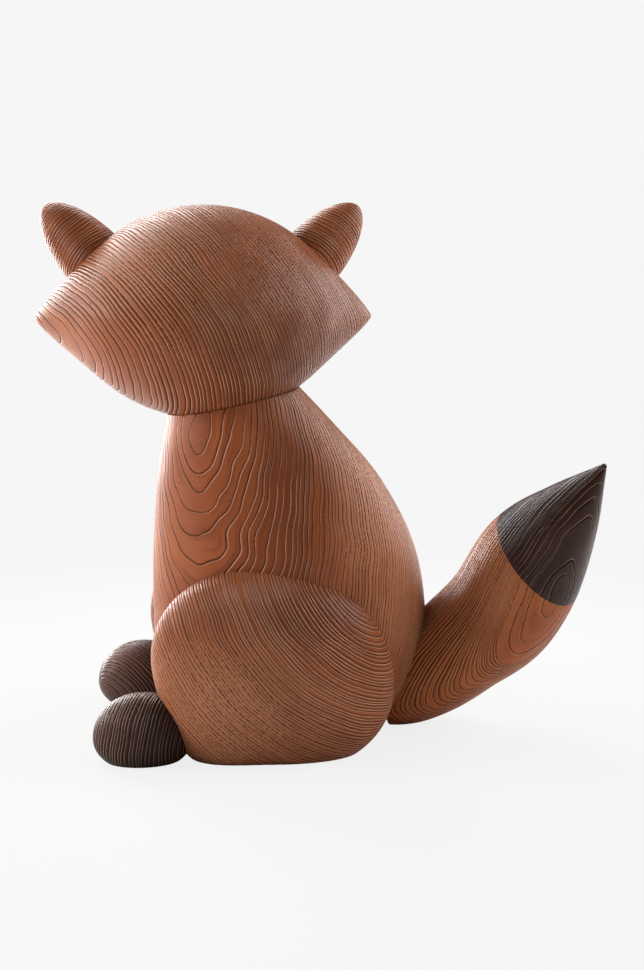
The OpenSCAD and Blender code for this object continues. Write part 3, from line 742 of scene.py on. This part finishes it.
    # the wood's own colour changes slowly over centimetres; over it go streaks that keep to the rings, the
    # patches of painted shade and painted sheen, the crests with their partly painted highlight, and then the
    # grooves and pores
    layer = addNode(tree, "Math", {0: count, 1: brush["streakLayer"]}, operation="MULTIPLY")
    streak = addNode(tree, "TexNoise", {"Vector": place, "W": layer, "Scale": 1 / (brush["streakSize"] * mm),
                                        "Detail": 2.0}, noise_dimensions="4D")
    streak = addNode(tree, "MapRange", {"Value": streak, "From Min": brush["streak"][0],
                                        "From Max": brush["streak"][1], "To Max": brush["streakMost"]})
    # painted shade where a patch lies below nought, and a painted sheen, in places also worn stain, where it
    # lies above
    paintedShade = addNode(tree, "MapRange", {"Value": lightAndWear, "From Min": 0.0, "From Max": -1.0})
    wornAndSheen = addNode(tree, "MapRange", {"Value": lightAndWear, "To Max": wearAndSheen["colour"]})
    crestPaleAndHighlight = addNode(tree, "Math", {0: crest, 1: look["crestStrength"]}, operation="MULTIPLY")
    wood = addNode(tree, "Mix", {0: soft["slow"], 6: linear(look["wood"][0]), 7: linear(look["wood"][1])},
                   out=2, data_type="RGBA")
    over = {"streak": streak, "paintedShade": paintedShade, "wornAndSheen": wornAndSheen, "crest": crestPaleAndHighlight, "groove": dark}
    for colour, amount in over.items():
        wood = addNode(tree, "Mix", {0: amount, 6: wood, 7: linear(look[colour])}, out=2, data_type="RGBA")

    # relief: crests rise, grooves sink and the brush leaves fine scratches, all shallower where the rings run
    # tight or under the patches above nought, the painted sheen
    height = addNode(tree, "Math", {0: crest, 1: brush["crestHeight"]}, operation="MULTIPLY")
    height = addNode(tree, "Math", {0: soft["scratches"], 1: brush["scratch"], 2: height},
                     operation="MULTIPLY_ADD")
    height = addNode(tree, "Math", {0: height, 1: sunken}, operation="SUBTRACT")
    deep = addNode(tree, "MapRange", {"Value": pitch, "From Min": brush["tight"][0],
                                      "From Max": brush["tight"][1], "To Min": brush["tightDepth"]})
    smooth = addNode(tree, "MapRange", {"Value": lightAndWear, "To Min": 1.0, "To Max": wearAndSheen["relief"]})
    for shallower in (deep, smooth):
        height = addNode(tree, "Math", {0: height, 1: shallower}, operation="MULTIPLY")
    bump = addNode(tree, "Bump", {"Height": height, "Distance": brush["relief"] * mm, "Strength": 1.0})
    rough = addNode(tree, "MapRange", {"Value": dark, "To Min": look["roughness"],
                                       "To Max": brush["grooveRoughness"]})
    shader = addNode(tree, "BsdfPrincipled", {"Base Color": wood, "Roughness": rough, "Normal": bump,
                                               "Specular IOR Level": look["specular"]})
    addNode(tree, "OutputMaterial", {"Surface": shader})
    return material


# Beech dowel rod, turned and left bare: pale pinkish wood with short darker flecks along it
bareBeech = {"wood": ("#c9a27c", "#b98d66"), "woodSize": 7, "fleck": "#8f6646", "fleckSize": 1.1,
             "fleckFade": (0.62, 0.70), "relief": 0.1, "bumpStrength": 0.5, "roughness": 0.62}


def beechMaterial(name, look):
    # two pale colours mixed by soft noise, dark flecks where a finer noise is high, and a faint relief
    material, tree = emptyMaterial(name)
    place = addNode(tree, "TexCoord", out="Object")
    slow = addNode(tree, "TexNoise", {"Vector": place, "Scale": 1 / (look["woodSize"] * mm), "Detail": 2.0})
    wood = addNode(tree, "Mix", {0: slow, 6: linear(look["wood"][0]), 7: linear(look["wood"][1])}, out=2,
                   data_type="RGBA")
    fleck = addNode(tree, "TexNoise", {"Vector": place, "Scale": 1 / (look["fleckSize"] * mm), "Detail": 0.0})
    fleck = addNode(tree, "MapRange", {"Value": fleck, "From Min": look["fleckFade"][0],
                                       "From Max": look["fleckFade"][1]})
    wood = addNode(tree, "Mix", {0: fleck, 6: wood, 7: linear(look["fleck"])}, out=2, data_type="RGBA")
    bump = addNode(tree, "Bump", {"Height": slow, "Distance": look["relief"] * mm,
                                  "Strength": look["bumpStrength"]})
    shader = addNode(tree, "BsdfPrincipled", {"Base Color": wood, "Roughness": look["roughness"],
                                               "Normal": bump})
    addNode(tree, "OutputMaterial", {"Surface": shader})
    return material


materials = {
    "brown_ash": ashMaterial("ash, stained brown and wire-brushed", brownAsh),
    "orange_ash": ashMaterial("ash, stained orange-brown and wire-brushed", orangeAsh),
    "dark_ash": ashMaterial("ash, stained near-black and wire-brushed", darkAsh),
    "bare_beech": beechMaterial("beech dowel, turned and bare", bareBeech),
}
print("materials:", len(materials))


# every wooden piece stands for its own node of the frame
sides = {"left": -1, "right": 1}
pieces = [
    ("torsoWood", torsoRows(), "body", "brown_ash", ["torso"], torsoGrain),
    ("headWood", headRows(), "head", "brown_ash", ["head"], headGrain),
    ("tailWood", tailRows(), "body", "orange_ash", ["tail"], tailGrain),
    ("tailTipWood", tipRows(), "body", "dark_ash", ["tail_tip"], tipGrain),
    ("noseKnob", noseRows(), "head", "dark_ash", ["nose"], footGrains[1]),
]
for name, side in sides.items():
    pieces += [
        ("haunchWood_" + name, haunchRows(side), "body", "brown_ash", ["haunch_" + name], haunchGrains[side]),
        ("footWood_" + name, footRows(side), "body", "dark_ash", ["foot_" + name], footGrains[side]),
        ("earWood_" + name, earRows(side), "head", "brown_ash", ["ear_" + name], earGrains[side]),
        ("eyePeg_" + name, eyeRows(side), "head", "dark_ash", ["eye_" + name], footGrains[side]),
    ]
for name, surface, body, slot, nodes, grain in pieces:
    makePiece(name, surface, body, nodes, materials[slot], grain)

for name, dowel in frame["nodes"].items():
    if "dowel" in name:
        dowel.data.materials.clear()
        dowel.data.materials.append(materials["bare_beech"])


# camera, a long way in front of the fox's left side and a little above it
view = {"at": (-0.024, -0.66, 0.228), "aim": (0.0514, 0, 0.1107), "lens": 55.7}
camera = bpy.data.objects.new("camera", bpy.data.cameras.new("camera"))
camera.data.lens = view["lens"]
camera.location = view["at"]
camera.rotation_euler = (Vector(view["aim"]) - Vector(view["at"])).to_track_quat("-Z", "Y").to_euler()
bpy.context.collection.objects.link(camera)
bpy.context.scene.camera = camera

# soft boxes: where they stand in m, their sides in m, and their power in W
boxes = {
    "boxBehindLeft": {"at": (-0.7, 1.1, 0.25), "size": (0.8, 0.5), "power": 18},
    "boxAboveBehind": {"at": (-0.4, 1.05, 0.95), "size": (1.0, 0.7), "power": 21},
    "boxLeft": {"at": (-1.2, 0.0, 0.6), "size": (0.7, 0.7), "power": 17},
    "boxRightBehind": {"at": (1.0, 0.75, 0.5), "size": (0.8, 1.0), "power": 10},
    "boxRightAbove": {"at": (1.0, -0.1, 0.8), "size": (0.7, 0.7), "power": 10},
}
for name, box in boxes.items():
    lamp = bpy.data.lights.new(name, "AREA")
    lamp.shape = "RECTANGLE"
    lamp.size, lamp.size_y = box["size"]
    lamp.energy = box["power"]
    holder = bpy.data.objects.new(name, lamp)
    holder.location = box["at"]
    holder.rotation_euler = (Vector(view["aim"]) - Vector(box["at"])).to_track_quat("-Z", "Y").to_euler()
    bpy.context.collection.objects.link(holder)

# pale paper under the fox: near it the paper is lit and takes its shadow, and farther away the camera sees
# an even white, so that the ground shows no edge
paper = {"colour": "#e2e2e2", "seen": 0.92, "middle": (0.05, 0, 0), "size": 6, "near": 0.12, "far": 0.40,
         "least": 0.9, "fill": 0.22}
material, tree = emptyMaterial("paper backdrop, matt")
place = addNode(tree, "TexCoord", out="Object")
fromFox = addNode(tree, "VectorMath", {0: place, 1: paper["middle"]}, out="Value", operation="DISTANCE")
plain = addNode(tree, "MapRange", {"Value": fromFox, "From Min": paper["near"], "From Max": paper["far"],
                                   "To Min": paper["least"]}, interpolation_type="SMOOTHSTEP")
seen = addNode(tree, "LightPath", out="Is Camera Ray")
plain = addNode(tree, "Math", {0: plain, 1: seen}, operation="MULTIPLY")
matt = addNode(tree, "BsdfDiffuse", {"Color": linear(paper["colour"])})
white = addNode(tree, "Emission", {"Color": (1, 1, 1, 1), "Strength": paper["seen"]})
mixed = addNode(tree, "MixShader", {0: plain, 1: matt, 2: white})
addNode(tree, "OutputMaterial", {"Surface": mixed})
mesh = bpy.data.meshes.new("paper")
half = paper["size"] / 2
mesh.from_pydata([(-half, -half, 0), (half, -half, 0), (half, half, 0), (-half, half, 0)], [], [(0, 1, 2, 3)])
mesh.materials.append(material)
floor = bpy.data.objects.new("paper", mesh)
bpy.context.collection.objects.link(floor)

scene = bpy.context.scene
scene.world = bpy.data.worlds.new("studio")
scene.world.use_nodes = True
tree = scene.world.node_tree
tree.nodes.clear()
seen = addNode(tree, "LightPath", out="Is Camera Ray")
level = addNode(tree, "MapRange", {"Value": seen, "To Min": paper["fill"], "To Max": paper["seen"]})
sky = addNode(tree, "Background", {"Color": (1, 1, 1, 1), "Strength": level})
addNode(tree, "OutputWorld", {"Surface": sky})
scene.view_settings.view_transform = "Standard"
print("stage:", len(boxes), "soft boxes")
